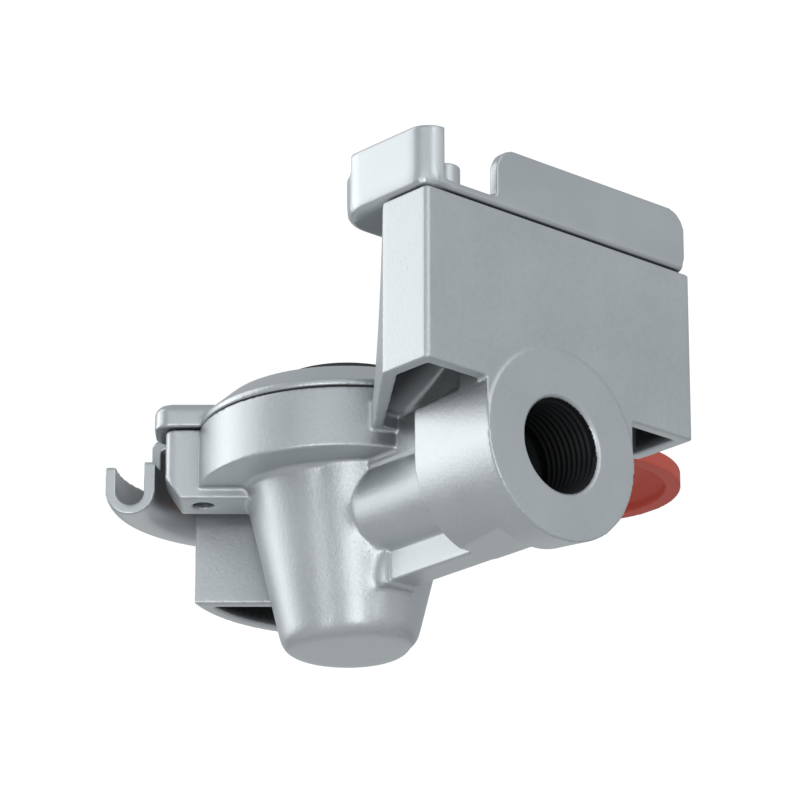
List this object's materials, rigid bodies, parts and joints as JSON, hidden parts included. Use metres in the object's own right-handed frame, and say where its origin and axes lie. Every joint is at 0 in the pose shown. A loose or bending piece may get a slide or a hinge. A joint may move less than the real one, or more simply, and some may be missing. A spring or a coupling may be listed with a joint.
{
  "type": "air brake coupling head",
  "caption": "Gladhand air brake coupling head: threaded port, claw plate on a hollow tower, filter bowl, mating seal, curled guide rim and a swinging dust cover.",
  "frame": {"origin": "centre of the threaded port's mouth, in the plane of the boss's front face", "axes": "+Y from the port into the head, +Z towards the mating seal, +X to the right of the port"},
  "size_m": [0.1507, 0.1245, 0.089],
  "materials": {
    "casting": "satin, as cast and blasted",
    "pressed_steel": "satin, zinc plated",
    "zinc_steel": "satin, zinc plated",
    "black_rubber": "matt",
    "black_plastic": "matt",
    "brass_mesh": "fine mesh",
    "red_plastic": "satin, moulded"
  },
  "bodies": {
    "head": {"body_casting": "casting", "claw_plate": "pressed_steel", "claw_stud": "zinc_steel", "claw_screw_left": "zinc_steel", "claw_screw_right": "zinc_steel", "guide_plate": "pressed_steel", "guide_screw_left": "zinc_steel", "guide_screw_right": "zinc_steel", "flange_gasket": "black_rubber", "seal_ring": "black_rubber", "seal_support": "black_plastic", "filter_collar": "black_plastic", "filter_sieve": "brass_mesh", "filter_cap": "black_plastic", "cover_pin": "zinc_steel", "cover_washer": "zinc_steel", "cover_clip": "zinc_steel"},
    "cover": {"dust_cover": "red_plastic"}
  },
  "joints": [
    {"name": "cover_swing", "type": "hinge", "parent": "head", "child": "cover", "pos_m": [0.0465, 0.08008, 0.03], "axis": [0, 0, 1], "range_deg": [0, 180]}
  ]
}
